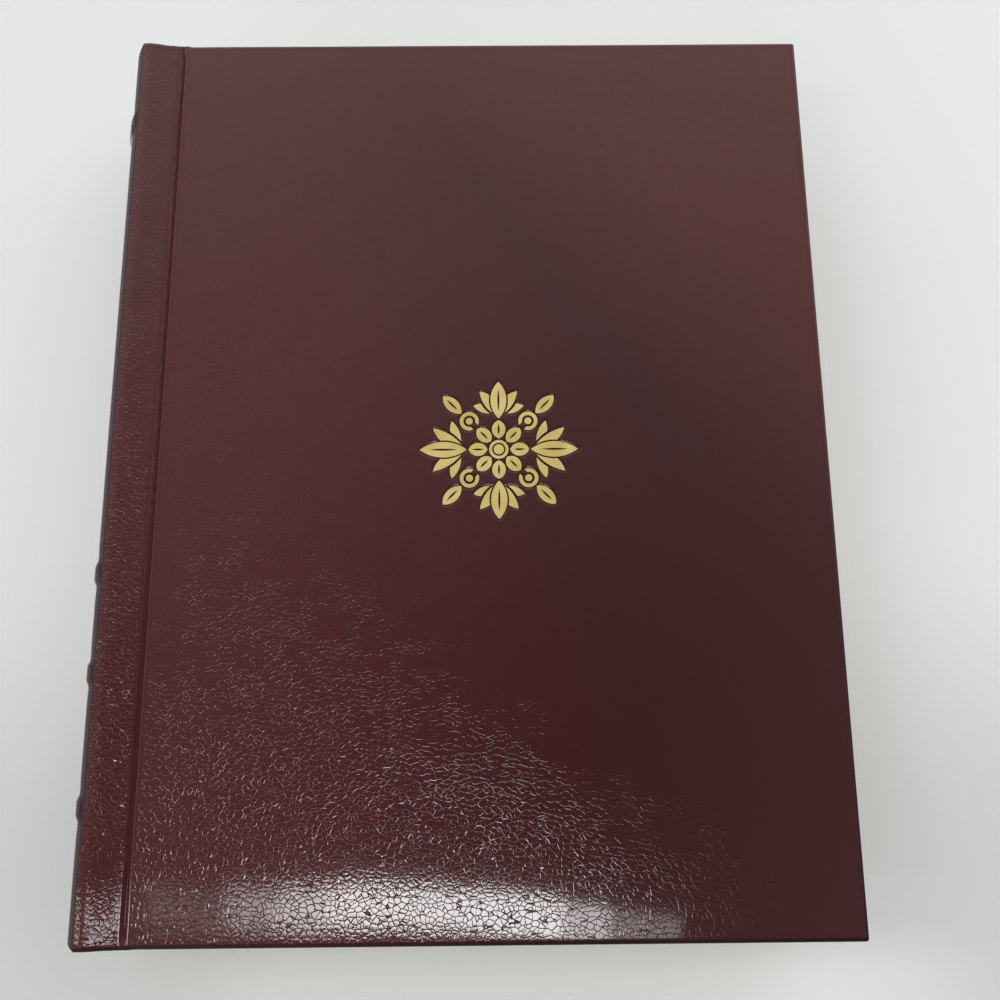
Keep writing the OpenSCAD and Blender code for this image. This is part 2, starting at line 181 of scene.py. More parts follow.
class Shape:
    """Collects grids and polygons of points in book millimetres, then welds them into one mesh object."""

    def __init__(self):
        self.points, self.faces, self.values, self.count = [], [], {}, 0

    def _add(self, points, values):
        flat = points.reshape(-1, 3)
        for name in set(self.values) | set(values):
            column = self.values.setdefault(name, [np.zeros(self.count)])
            value = values.get(name, 0.0)
            column.append(np.broadcast_to(value, points.shape[:-1]).reshape(-1).astype(float))
        self.points.append(flat)
        first = self.count
        self.count += len(flat)
        return first

    def grid(self, points, **values):
        """Quads between neighbours of an (n, m, 3) array of points."""
        n, m = points.shape[:2]
        index = np.arange(n * m).reshape(n, m) + self._add(points, values)
        quads = np.stack([index[:-1, :-1], index[1:, :-1], index[1:, 1:], index[:-1, 1:]], -1)
        self.faces += quads.reshape(-1, 4).tolist()

    def polygon(self, points, **values):
        """One flat face through an (n, 3) array of points."""
        first = self._add(points, values)
        self.faces.append(list(range(first, first + len(points))))

    def build(self, name, material, crease_deg=50):
        """Welds what touches, turns the faces outwards and shades smooth up to crease_deg."""
        mesh = bpy.data.meshes.new(name)
        mesh.from_pydata(to_frame(np.concatenate(self.points)).tolist(), [], self.faces)
        for key, column in self.values.items():
            layer = mesh.attributes.new(key, "FLOAT", "POINT")
            layer.data.foreach_set("value", np.concatenate(column).astype(np.float32))
        work = bmesh.new()
        work.from_mesh(mesh)
        bmesh.ops.remove_doubles(work, verts=work.verts, dist=0.002 * MM)
        bmesh.ops.dissolve_degenerate(work, edges=work.edges, dist=0.0005 * MM)
        bmesh.ops.recalc_face_normals(work, faces=work.faces)
        if work.calc_volume(signed=True) < 0:
            bmesh.ops.reverse_faces(work, faces=work.faces)
        work.to_mesh(mesh)
        work.free()
        rest = np.zeros(len(mesh.vertices) * 3, np.float32)
        mesh.vertices.foreach_get("co", rest)
        mesh.attributes.new("rest", "FLOAT_VECTOR", "POINT").data.foreach_set("vector", rest)
        mesh.shade_smooth()
        mesh.set_sharp_from_angle(angle=math.radians(crease_deg))
        mesh.materials.append(material)
        piece = bpy.data.objects.new(name, mesh)
        bpy.context.scene.collection.objects.link(piece)
        return piece


# Outer surface of the case


def groove_share(y):
    """Depth of the groove as a share: less near head and tail, where the turned-in leather fills it."""
    from_end = np.minimum(y, CASE_H - y)
    return 1 - GROOVE_FILL * np.exp(-((from_end / GROOVE_FILL_W) ** 2))


def side_height(x, y, strip_h):
    """Height over a cover's face: the strip falls evenly to the groove, which is one cosine wave deep.

    The fall is level at both ends: its slope grows in a straight line over the first share e of its width,
    is then 1 / (1 - e) of the mean slope, and fades over the last share e. The strip's rim drops by a
    parabola.
    """
    e = STRIP_EASE
    t = np.clip((x - STRIP_FLAT_W) / (STRIP_END_X - STRIP_FLAT_W), 0, 1)
    ends = 2 * e * (1 - e)
    fall = np.where(t < e, t**2 / ends, np.where(t > 1 - e, 1 - (1 - t) ** 2 / ends, (t - e / 2) / (1 - e)))
    strip = strip_h * (1 - fall)
    rim = STRIP_RIM_D * np.clip(1 - (x - SHOULDER_X) / STRIP_RIM_W, 0, 1.2) ** 2 * (strip_h > 0)
    wave = (1 - np.cos(2 * np.pi * np.clip((x - GROOVE_X0) / GROOVE_W, 0, 1))) / 2
    return strip - rim - GROOVE_D * groove_share(y) * wave


def side_slope(x, y, strip_h):
    step = 0.01
    return (side_height(x + step, y, strip_h) - side_height(x - step, y, strip_h)) / (2 * step)


def edge_rows():
    """Rows round an edge of the case, from the face over the edge and the turn-in back to under the face.

    A row is (inset, from_top, a, b, c). Its depth under the outer surface is a + b s + c g, or the thickness
    less that where from_top is 0; s is the thickness over that of a cover, and g the room for the board.
    """
    quarter = np.radians(np.linspace(0, 90, 8))
    top = [(4.0, 1, 0, 0, 0), (3.0, 1, 0, 0, 0), (2.2, 1, 0, 0, 0), (1.8, 1, 0, 0, 0)]
    top += [(EDGE_R * (1 - math.sin(a)), 1, 0, EDGE_R * (1 - math.cos(a)), 0) for a in quarter]
    low = [(LOWER_EDGE_R * (1 - math.cos(a)), 0, 0, LOWER_EDGE_R * (1 - math.sin(a)), 0) for a in quarter]
    low += [(2.2, 0, 0, 0, 0), (4.0, 0, 0, 0, 0), (8.0, 0, 0, 0, 0), (11.0, 0, 0, 0, 0)]
    pared = [(TURN_IN_W - 0.4, 0, 0, 0, 0), (TURN_IN_W, 0, 0.06, 0, 0), (TURN_IN_W - 0.2, 0, 0.12, 0, 0)]
    inside = [(11.0, 0, TURN_IN_T, 0, 0), (6.0, 0, TURN_IN_T, 0, 0), (1.3, 0, TURN_IN_T, 0, 0)]
    inside += [(LEATHER_T, 0, TURN_IN_T, 0, 0.12), (LEATHER_T, 1, LEATHER_T, 0, 0.2)]
    inside += [(1.3, 1, LEATHER_T, 0, 0), (2.4, 1, LEATHER_T, 0, 0), (4.0, 1, LEATHER_T, 0, 0)]
    return np.array(top + low + pared + inside)


EDGE_ROWS = edge_rows()
FACE_INSET = EDGE_ROWS[0, 0]


def row_depth(row, thickness):
    """Depth of an edge row where the case is this thick."""
    _, from_top, a, b, c = row
    room = np.maximum(thickness - LEATHER_T - TURN_IN_T, 0)
    depth = a + b * np.clip(thickness / INNER_Z, 0, 1) + c * room
    return depth if from_top else thickness - depth


def row_rim_shade(row):
    """1 on the rows over the rim of an edge and under it, 0 on the face; the leather there gets painted
    shade.
    """
    return float(not row[1] or (row[0] < EDGE_R * 0.5 and row[4] == 0))


def calm_edge(inset):
    """How far the grain is pressed smooth along an edge of the case."""
    return 1 - ramp((np.asarray(inset, float) - CALM_W) / CALM_FADE_W)


def calm_joint(x):
    """How far the grain is stretched smooth in the joint."""
    return 1 - ramp((np.abs(x - GROOVE_X) - CALM_W) / CALM_FADE_W)


def groove_shade(x, y):
    """How far painted shade darkens the groove, through a duller, less reflective finish."""
    return (1 - ramp((np.abs(x - GROOVE_X + 0.2) - 0.2) / 1.1)) * groove_share(y) ** 2


def cover_thickness(x, y):
    """Thickness of a cover, square to its outer surface: two leathers, and the board past its edge."""
    slope = side_slope(x, y, 0.0)
    over_board = (INNER_Z + side_height(x, y, 0.0)) * np.sqrt(1 + slope**2)
    return mix(JOINT_T, over_board, ramp((x - BOARD_X + 1.2) / 1.4))


def under_cover(x, y, depth, sink=0.0):
    """Points of the front cover at this depth under its face, which lies sink lower than its even level."""
    slope = side_slope(x, y, 0.0)
    norm = np.sqrt(1 + slope**2)
    z = CASE_T + side_height(x, y, 0.0) - sink
    return np.stack([x + depth * slope / norm, y + 0 * x, z - depth / norm], -1)


def turned(points, to_back):
    """The back cover is the front cover turned over: z becomes the case's thickness less z."""
    if to_back:
        points = points * (1, 1, -1) + (0, 0, CASE_T)
    return points


def swell(x, y):
    """Slow rise and fall of the leather over a board, a few hundredths of a millimetre."""
    wave = np.sin(x / 17.0 + 1.3 * np.sin(y / 41.0)) + np.sin(y / 23.0 + 1.7 * np.sin(x / 29.0) + 0.8)
    return SWELL_H * wave * ramp((x - GROOVE_X1) / 12)


def foil_outline():
    """Outline of the gilt ornament's upper face, (n, 2, 2) in book millimetres: its unshared edges."""
    mesh = NODES["gilt_ornament"].data
    co = np.zeros(len(mesh.vertices) * 3, np.float32)
    mesh.vertices.foreach_get("co", co)
    co = co.reshape(-1, 3) / MM - (SPINE_X, TAIL_Y, 0.0)
    mesh.calc_loop_triangles()
    corners = np.zeros(len(mesh.loop_triangles) * 3, np.int32)
    mesh.loop_triangles.foreach_get("vertices", corners)
    _, welded = np.unique(np.round(co, 3), axis=0, return_inverse=True)
    welded = welded.reshape(-1)
    place = np.zeros((welded.max() + 1, 3))
    place[welded] = co
    triangles = welded[corners].reshape(-1, 3)
    top = triangles[np.all(place[triangles][:, :, 2] > co[:, 2].max() - 0.01, axis=1)]
    edges = np.sort(np.concatenate([top[:, [0, 1]], top[:, [1, 2]], top[:, [2, 0]]]), axis=1)
    edges, uses = np.unique(edges, axis=0, return_counts=True)
    return place[edges[uses == 1]][:, :, :2]


def foil_distance(x, y):
    """Distance of points from the foil's nearest edge; 0 inside, by an even-odd count of crossings."""
    edges = foil_outline()
    a, b = edges[:, 0], edges[:, 1]
    run = b - a
    points = np.stack([x.ravel(), y.ravel()], -1)
    out = np.zeros(len(points))
    for chunk in np.array_split(np.arange(len(points)), 40):
        p = points[chunk, None, :]
        t = np.clip(((p - a) * run).sum(-1) / np.maximum((run**2).sum(-1), 1e-12), 0, 1)
        near = np.sqrt((((a + t[..., None] * run) - p) ** 2).sum(-1).min(1))
        crosses = (a[:, 1] > p[..., 1]) != (b[:, 1] > p[..., 1])
        rise = np.where(np.abs(run[:, 1]) < 1e-12, 1e-12, run[:, 1])
        at = a[:, 0] + (p[..., 1] - a[:, 1]) / rise * run[:, 0]
        inside = (crosses & (at > p[..., 0])).sum(1) % 2 == 1
        out[chunk] = np.where(inside, 0.0, near)
    return out.reshape(x.shape)


def cover_outline(inset, fx, fy):
    """Outline of a cover at this inset, from tail to head: runs cut by the shares fx and fy, and arcs."""
    corner = max(inset, CORNER_R)
    r = CORNER_R - inset if inset < CORNER_R else 0.0
    straight_x = SEAM_X + fx * (CASE_W - corner - SEAM_X)
    straight_y = corner + fy * (CASE_H - 2 * corner)
    turn = np.radians(np.linspace(0, 90, 8))[1:-1]
    xs = [straight_x, CASE_W - corner + r * np.sin(turn), np.full(len(fy), CASE_W - inset)]
    ys = [np.full(len(fx), inset), corner - r * np.cos(turn), straight_y]
    xs += [CASE_W - corner + r * np.cos(turn), straight_x[::-1]]
    ys += [CASE_H - corner + r * np.sin(turn), np.full(len(fx), CASE_H - inset)]
    return np.concatenate(xs), np.concatenate(ys)


def coarse(values, keep_below, step):
    """The values, past keep_below rounded to whole steps: neighbours that coincide are welded away."""
    out = np.where(values > keep_below, np.round(values / step) * step, values)
    out = np.clip(out, values[0], values[-1])
    out[0], out[-1] = values[0], values[-1]
    return out


def cover_leather(name, material, to_back):
    """Leather of one cover as a closed skin: face, edges, mitred turn-ins, and the pocket for the board.

    The face is a grid of x by y. Its outline, carried through EDGE_ROWS, makes the edges, and a coarser grid
    at the leather's depth closes the pocket. On the front the face sinks round the gilt ornament by a smooth
    step of the distance.
    """
    middle_step = BACK_STEP if to_back else FOIL_STEP
    half_x, half_y = ORNAMENT_REACH
    x = stations(SEAM_X, (GROOVE_X1 + 1, 0.25), (24, 0.6), (ORNAMENT_X - half_x, FIELD_STEP),
                 (ORNAMENT_X + half_x, middle_step), (CASE_W - FACE_INSET, FIELD_STEP))
    y = stations(FACE_INSET, (12, 1.0), (ORNAMENT_Y - half_y, FIELD_STEP),
                 (ORNAMENT_Y + half_y, middle_step), (CASE_H - 12, FIELD_STEP), (CASE_H - FACE_INSET, 1.0))
    fx = (x - x[0]) / (x[-1] - x[0])
    fy = (y - y[0]) / (y[-1] - y[0])
    skin = Shape()
    gx, gy = np.meshgrid(x, y, indexing="ij")
    sink = -swell(gx, gy)
    pressed = np.zeros_like(gx)
    if not to_back:
        cols = np.abs(x - ORNAMENT_X) < half_x
        rows = np.abs(y - ORNAMENT_Y) < half_y
        distance = foil_distance(gx[np.ix_(cols, rows)], gy[np.ix_(cols, rows)])
        pressed[np.ix_(cols, rows)] = 1 - ramp(distance / PRESS_W)
        sink = sink + (PRESS_D - FOIL_PROUD) * pressed
    calm = np.maximum(calm_joint(gx), pressed)
    face = turned(under_cover(gx, gy, 0.0, sink), to_back)
    skin.grid(face, pressed=pressed, calm=calm, groove=groove_shade(gx, gy))
    ring, edges, calms = [], [], []
    for row in EDGE_ROWS:
        ox, oy = cover_outline(row[0], fx, fy)
        depth = row_depth(row, cover_thickness(ox, oy))
        lift = -swell(ox, oy) if row[1] else 0.0
        ring.append(under_cover(ox, oy, depth, lift))
        edges.append(np.full(len(ox), row_rim_shade(row)))
        calms.append(np.maximum(calm_joint(ox), calm_edge(row[0])))
    ring = np.array(ring)
    skin.grid(turned(ring, to_back), edge=np.array(edges), calm=np.array(calms),
              groove=groove_shade(ring[..., 0], ring[..., 1]))
    # The pocket's roof, and the wall at the seam
    cx, cy = coarse(x, 24, POCKET_STEP), coarse(y, 8, POCKET_STEP)
    rx, ry = np.meshgrid(cx, cy, indexing="ij")
    rx[:, [0, -1]] = x[:, None]
    ry[[0, -1], :] = y[None, :]
    roof = under_cover(rx, ry, LEATHER_T, -swell(rx, ry))
    skin.grid(turned(roof, to_back))
    seam_wall = np.stack([under_cover(gx[0], gy[0], 0.0), roof[0]])
    skin.grid(turned(seam_wall, to_back))
    skin.polygon(turned(ring[:, 0], to_back))
    skin.polygon(turned(ring[:, -1], to_back))
    return skin.build(name, material)


# Spine


def side_curve(x, y, strip_h, face_z, up):
    """Outer line of a side of the case between spine and joint: points and outward normals in x and z."""
    slope = side_slope(x, y, strip_h)
    norm = np.sqrt(1 + slope**2)
    points = np.stack([x, face_z + up * side_height(x, y, strip_h)], -1)
    return points, np.stack([-slope / norm, up / norm], -1)


def shoulder(x0, z0, normal, up):
    """Fillet from a side's end to the spine's curve x = b |u|^power - round: points, normals, last u, b."""
    lean = math.radians(36)
    centre = np.array((x0, z0)) - SHOULDER_R * normal
    for _ in range(6):
        end = centre + SHOULDER_R * np.array((-math.cos(lean), up * math.sin(lean)))
        u = abs(end[1] - SPINE_Z) / SPINE_Z
        b = (end[0] + SPINE_ROUND) / u**SPINE_POWER
        lean = math.atan(b * SPINE_POWER * u ** (SPINE_POWER - 1) / SPINE_Z)
    first = math.atan2(up * normal[1], normal[0])
    a = np.linspace(first, math.pi - lean, 8)[1:-1]
    normals = np.stack([np.cos(a), up * np.sin(a)], -1)
    return centre + SHOULDER_R * normals, normals, u, b


def spine_half(u0, b, up):
    """The spine's curve from a shoulder to the middle: points and outward normals."""
    u = stations(u0, (0.6, 0.015), (0.0, 0.05))
    slope = b * SPINE_POWER * u ** (SPINE_POWER - 1) / SPINE_Z
    norm = np.sqrt(1 + slope**2)
    points = np.stack([-SPINE_ROUND + b * u**SPINE_POWER, SPINE_Z * (1 + up * u)], -1)
    return points, np.stack([-1 / norm, up * slope / norm], -1)


def spine_profile(y):
    """Round the spine at y, from the front joint to the back one.

    Gives points, outward normals, the share of the way down the spine, thickness, and how much painted shade
    darkens the rim.
    """
    xs = stations(SEAM_X, (GROOVE_X0, 0.15), (STRIP_END_X - 3, 0.4),
                  (STRIP_FLAT_W, 0.6), (SHOULDER_X + 0.3, 0.35))
    front, front_n = side_curve(xs, y, STRIP_H, CASE_T, 1)
    back, back_n = side_curve(xs, y, 0.0, 0.0, -1)
    turn_f, turn_fn, u_f, b_f = shoulder(*front[-1], front_n[-1], 1)
    turn_b, turn_bn, u_b, b_b = shoulder(*back[-1], back_n[-1], -1)
    half_f, half_fn = spine_half(u_f, b_f, 1)
    half_b, half_bn = spine_half(u_b, b_b, -1)
    points = np.concatenate([front, turn_f, half_f, half_b[::-1][1:], turn_b[::-1], back[::-1]])
    normals = np.concatenate([front_n, turn_fn, half_fn, half_bn[::-1][1:], turn_bn[::-1], back_n[::-1]])
    first, count = len(front) + len(turn_f), len(half_f) + len(half_b) - 1
    share = np.zeros(len(points))
    z = points[first:first + count, 1]
    share[first:first + count] = (z[0] - z) / (z[0] - z[-1])
    thickness = mix(INLAY_DEPTH, JOINT_T, ramp((points[:, 0] - INLAY_REACH + 0.3) / 0.5))
    tilt = np.degrees(np.arccos(np.clip(np.abs(normals[:, 1]), 0, 1)))
    (start, full), (still, end) = RIM_TILT_DEG, RIM_TILT_END_DEG
    # Painted shade on the rim, by its tilt, only within 2 mm of the spine edge
    edge = ramp((tilt - start) / (full - start)) * (1 - ramp((tilt - still) / (end - still)))
    edge = edge * (points[:, 0] < 2)
    return points, normals, share, thickness, edge


def band_rise(y, share):
    """Height of the raised bands: level crowns with cosine flanks, and a bell-shaped dip on both sides."""
    rise = np.zeros(np.broadcast(y, share).shape)
    height = BAND_END_H + (BAND_H - BAND_END_H) * np.sin(np.pi * share)
    gate = ramp(np.minimum(share, 1 - share) / 0.03)
    for band_y in BAND_YS:
        off = np.abs(y - band_y)
        crown = 1 - ramp((off - BAND_CROWN_W) / BAND_FLANK_W)
        dip = np.exp(-(((off - BAND_DIP_AT) / BAND_DIP_W) ** 2))
        rise = rise + (height * crown - BAND_DIP_D * dip) * gate
    return rise


def spine_leather(name, material):
    """Leather of the spine as a closed skin: the profile carried from tail to head, and round both ends."""
    stops = [stop for band_y in BAND_YS for stop in ((band_y - 7, 2.0), (band_y + 7, 0.4))]
    y = stations(FACE_INSET, (12, 1.0), *stops, (CASE_H - 12, 2.0), (CASE_H - FACE_INSET, 1.0))[1:-1]
    outer_row, inner_row = EDGE_ROWS[0], EDGE_ROWS[-1]
    levels = [(row[0], row) for row in EDGE_ROWS[::-1]] + [(at, outer_row) for at in y]
    levels += [(CASE_H - row[0], row) for row in EDGE_ROWS] + [(at, inner_row) for at in y[::-1]]
    ring, edges, calms = [], [], []
    for at, row in levels:
        points, normals, share, thickness, edge = spine_profile(at)
        rise = band_rise(at, share) if row[0] >= FACE_INSET and row[1] else 0.0
        out = points - normals * (row_depth(row, thickness) - rise)[:, None]
        ring.append(np.stack([out[:, 0], np.full(len(out), at), out[:, 1]], -1))
        edges.append(np.maximum(edge, row_rim_shade(row)))
        calms.append(np.maximum(calm_joint(points[:, 0]), calm_edge(row[0])))
    ring, edges, calms = (np.array(v + v[:1]) for v in (ring, edges, calms))
    skin = Shape()
    skin.grid(ring, edge=edges, calm=calms, groove=groove_shade(ring[..., 0], ring[..., 1]))
    rows, mid = len(EDGE_ROWS), len(y)
    for end in (0, -1):
        skin.polygon(ring[:rows, end])
        skin.polygon(ring[rows + mid:2 * rows + mid, end])
        outer = ring[rows - 1:rows + mid + 1, end]
        inner = ring[2 * rows + mid - 1:, end][::-1]
        skin.grid(np.stack([outer, inner]))
    return skin.build(name, material)


# Pages

BUNDLES = 16
LEVELS = 97
HOLLOW_D = 5.0
BACK_ROUND = 0.35
BEAD_R = 1.1
BEAD_RIBS = 44
TAPE_W = 10.0
TAPE_DEPTHS = (INLAY_DEPTH + 0.32, INLAY_DEPTH + 0.53)


def page_levels(x, v):
    """Height of leaf v (0 lowest, 1 highest) at x: level, flaring by a half cosine towards the spine."""
    rise = 1 - ramp((x - FLARE_X) / (FOLD_X - FLARE_X))
    low = PAGES_Z - (PAGES_Z - BLOCK_DEPTH) * rise
    high = CASE_T - PAGES_Z + (STRIP_H - BLOCK_DEPTH + PAGES_Z) * rise
    return mix(low, high, v)


def page_reach(v, y_share):
    """How far each leaf stops short of the straight cut: by its bundle, slow waves, and notches between."""
    bundle = np.floor(v * BUNDLES)
    jitter = np.sin(bundle * 12.9898 + 4.0) * 43758.5453
    jitter = jitter - np.floor(jitter)
    slow = np.sin(v * 9.0 + 5.0 * y_share) + np.sin(v * 23.0 - 7.0 * y_share + 1.0)
    notch = np.exp(-(((v * BUNDLES - bundle - 0.5) * 2) ** 8))
    return 0.10 * jitter + 0.03 * slow + 0.10 * (1 - notch)


def text_block(name, material):
    """The pages, leaf v = 0 to v = 1, from an arc at the spine to a hollow arc at the fore-edge.

    The leaves lie at page_levels, and their cut edges are uneven by page_reach.
    """
    half = (CASE_T - 2 * PAGES_Z) / 2
    hollow_r = (half**2 + HOLLOW_D**2) / (2 * HOLLOW_D)
    x1 = CASE_W - SQUARE_W
    v = np.linspace(0, 1, LEVELS)
    s = stations(0, (0.03, 0.003), (0.08, 0.008), (1, 0.04))
    ends = page_levels(np.full_like(v, 0.0), v)
    x_spine = SPINE_CX - np.sqrt((SPINE_R - BLOCK_DEPTH) ** 2 - (ends - SPINE_Z) ** 2)
    x_spine = x_spine + BACK_ROUND * np.exp(-np.minimum(v, 1 - v) / 0.008)
    z_fore = page_levels(np.full_like(v, CASE_W), v)
    x_fore = x1 - HOLLOW_D + hollow_r - np.sqrt(hollow_r**2 - (z_fore - CASE_T / 2) ** 2)

    def leaf(sg, vg, yg, share):
        out_x = mix(np.interp(vg, v, x_spine), np.interp(vg, v, x_fore), sg)
        cut = page_reach(vg, share)
        out_x = out_x - cut * ramp((sg - 0.5) / 0.5)
        return np.stack([out_x, yg, page_levels(out_x, vg)], -1)

    block = Shape()
    y0, y1 = SQUARE_W, CASE_H - SQUARE_W
    sg, vg = np.meshgrid(s, v, indexing="ij")
    for y, sign in ((y0, 1), (y1, -1)):
        cut = page_reach(vg, sg * 0.7 + 0.3 * sign)
        edge = ramp(np.minimum(vg, 1 - vg) / 0.02) * ramp((1 - sg) / 0.02)
        block.grid(leaf(sg, vg, y + sign * cut * edge, 1.0 if sign < 0 else 0.0), leaf=vg)
    t = stations(0, (1, 0.02))
    tg, vg = np.meshgrid(t, v, indexing="ij")
    for end in (0.0, 1.0):
        block.grid(leaf(np.full_like(tg, end), vg, mix(y0, y1, tg), tg), leaf=vg)
    sg, tg = np.meshgrid(s, t, indexing="ij")
    for level in (0.0, 1.0):
        block.grid(leaf(sg, np.full_like(sg, level), mix(y0, y1, tg), tg), leaf=level)
    return block.build(name, material, crease_deg=35)


def endpaper(name, material, x0, z, to_back, swell_h):
    """A sheet of endpaper from x0 to the fore-edge; its border lies swell_h off, over turned-in leather."""
    x1 = CASE_W - SQUARE_W
    x = stations(x0, (BOARD_X + 2, 0.3), (24, 1.0), (CASE_W - TURN_IN_W - 2, 4.0), (x1, 0.5))
    y = stations(SQUARE_W, (TURN_IN_W + 2, 0.5), (CASE_H - TURN_IN_W - 2, 4.0), (CASE_H - SQUARE_W, 0.5))
    gx, gy = np.meshgrid(x, y, indexing="ij")
    border = np.minimum(np.minimum(gy, CASE_H - gy), CASE_W - gx)
    lift = swell_h * ramp((TURN_IN_W - border) / 0.9 + 0.5) * ramp((gx - BOARD_X) / 2)
    low = np.stack([gx, gy, z - lift], -1)
    high = np.stack([gx, gy, z + PAPER_T - PAPER_GAP - lift], -1)
    sheet = Shape()
    sheet.grid(turned(low, to_back))
    sheet.grid(turned(high, to_back))
    for edge in (np.s_[0, :], np.s_[-1, :], np.s_[:, 0], np.s_[:, -1]):
        sheet.grid(turned(np.stack([low[edge], high[edge]]), to_back))
    return sheet.build(name, material, crease_deg=35)


def end_band(name, material, to_head):
    """Sewn band at an end of the pages: a ribbed bead round the spine's arc, and the tape it is sewn to."""
    bead_y = SQUARE_W - BEAD_R
    depth = INLAY_DEPTH + LINING_T + CLOTH_T / 2 + BEAD_R
    t = np.linspace(0, 1, BEAD_RIBS * 6 + 1)
    around = np.linspace(0, 2 * np.pi, 21)
    reach = (SPINE_TOP / 2 - depth) * 0.985
    half = math.degrees(math.asin(reach / (SPINE_R - depth)))
    angle = np.radians(mix(180 - half, 180 + half, t))
    rib = 1 - 0.09 * np.abs(np.cos(np.pi * BEAD_RIBS * t)) ** 1.5
    tg, swing = np.meshgrid(t, around, indexing="ij")
    r = BEAD_R * rib[:, None]
    radial = SPINE_R - depth + r * np.sin(swing)
    px = SPINE_CX + radial * np.cos(angle)[:, None]
    pz = SPINE_Z + radial * np.sin(angle)[:, None]
    py = bead_y + r * np.cos(swing)
    if to_head:
        py = CASE_H - py
    band = Shape()
    bead = np.stack([px, py, pz], -1)
    band.grid(bead, thread=tg * BEAD_RIBS)
    for end, thread in ((0, 0.0), (-1, BEAD_RIBS)):
        band.polygon(bead[end, :-1], thread=thread)
    ys = np.array([bead_y, SQUARE_W + TAPE_W])
    if to_head:
        ys = CASE_H - ys
    layers = []
    for tape_depth in TAPE_DEPTHS:
        radial = SPINE_R - tape_depth
        wall_x = SPINE_CX + radial * np.cos(angle)
        wall = np.stack([wall_x, 0 * angle, SPINE_Z + radial * np.sin(angle)], -1)
        layers.append(np.stack([wall + (0, ys[0], 0), wall + (0, ys[1], 0)]))
    for k in (0, 1):
        band.grid(layers[k], thread=0.0)
    for k in (0, 1):
        band.grid(np.stack([layers[0][k], layers[1][k]]), thread=0.0)
    for k in (0, -1):
        corners = [layers[0][0][k], layers[0][1][k], layers[1][1][k], layers[1][0][k]]
        band.polygon(np.array(corners), thread=0.0)
    return band.build(name, material)


# Materials


class Value:
    """A socket that carries a number; arithmetic on it adds Math nodes."""

    def __init__(self, finish, socket):
        self.finish, self.socket = finish, socket

    def _math(self, operation, *operands):
        return self.finish.node("Math", {"operation": operation}, dict(enumerate(operands)))[0]

    def __add__(self, other):
        return self._math("ADD", self, other)

    __radd__ = __add__

    def __sub__(self, other):
        return self._math("SUBTRACT", self, other)

    def __rsub__(self, other):
        return self._math("SUBTRACT", other, self)

    def __mul__(self, other):
        return self._math("MULTIPLY", self, other)

    __rmul__ = __mul__

    def __truediv__(self, other):
        return self._math("DIVIDE", self, other)

    def __abs__(self):
        return self._math("ABSOLUTE", self)

    def low(self, other):
        return self._math("MINIMUM", self, other)

    def high(self, other):
        return self._math("MAXIMUM", self, other)

    def call(self, operation):
        return self._math(operation, self)

    def step(self, start, end):
        """0 up to start, 1 from end, smooth between; start may be above end."""
        settings = {"interpolation_type": "SMOOTHSTEP"}
        if start <= end:
            return self.finish.node("MapRange", settings, {"Value": self, 1: start, 2: end})[0]
        return 1 - self.finish.node("MapRange", settings, {"Value": self, 1: end, 2: start})[0]


class Nodes:
    """A node tree whose nodes all come from node()."""

    def __init__(self, owner):
        owner.use_nodes = True
        self.tree = owner.node_tree
        self.tree.nodes.clear()

    def node(self, kind, settings=None, inputs=None):
        """Adds a node of this kind; settings are its properties, inputs its sockets' values or links."""
        made = self.tree.nodes.new("ShaderNode" + kind)
        for key, value in (settings or {}).items():
            setattr(made, key, value)
        for key, value in (inputs or {}).items():
            if isinstance(value, Value):
                self.tree.links.new(value.socket, made.inputs[key])
            elif value is not None:
                socket = made.inputs[key]
                wide = hasattr(socket.default_value, "__len__") and len(socket.default_value) == 4
                socket.default_value = (*value, 1.0) if wide and len(value) == 3 else value
        return {
            **{i: Value(self, s) for i, s in enumerate(made.outputs)},
            **{s.name: Value(self, s) for s in made.outputs if s.enabled},
        }

    def moved(self, vector, scale=(1, 1, 1), turn=0.0):
        """The vector scaled, then turned about z."""
        return self.node("Mapping", None, {"Vector": vector, "Rotation": (0, 0, turn), "Scale": scale})[0]

    def noise(self, vector, per_m, detail=2.0, roughness=0.5):
        inputs = {"Vector": vector, "Scale": per_m, "Detail": detail, "Roughness": roughness}
        return self.node("TexNoise", None, inputs)

    def line_noise(self, at, detail):
        """Noise along one number, a swing for each whole step of it."""
        inputs = {"W": at, "Scale": 1.0, "Detail": detail}
        return self.node("TexNoise", {"noise_dimensions": "1D"}, inputs)[0]

    def warped(self, vector, per_m, by, detail=1.0):
        """The vector pushed about by a noise, up to about by metres."""
        push = self.noise(vector, per_m, detail)["Color"]
        push = self.node("VectorMath", {"operation": "SUBTRACT"}, {0: push, 1: (0.5, 0.5, 0.5)})[0]
        push = self.node("VectorMath", {"operation": "SCALE"}, {0: push, "Scale": by})[0]
        return self.node("VectorMath", {"operation": "ADD"}, {0: vector, 1: push})[0]

    def blend(self, share, a, b):
        """Colour a, going over to b by share."""
        return self.node("Mix", {"data_type": "RGBA"}, {0: share, 6: a, 7: b})[2]

    def attribute(self, name, output="Fac"):
        return self.node("Attribute", {"attribute_type": "GEOMETRY", "attribute_name": name})[output]

    def axes(self, vector):
        made = self.node("SeparateXYZ", None, {0: vector})
        return made["X"], made["Y"], made["Z"]

    def bump(self, height):
        """Normal from a height in metres."""
        return self.node("Bump", None, {"Height": height, "Strength": 1.0, "Distance": 1.0})["Normal"]


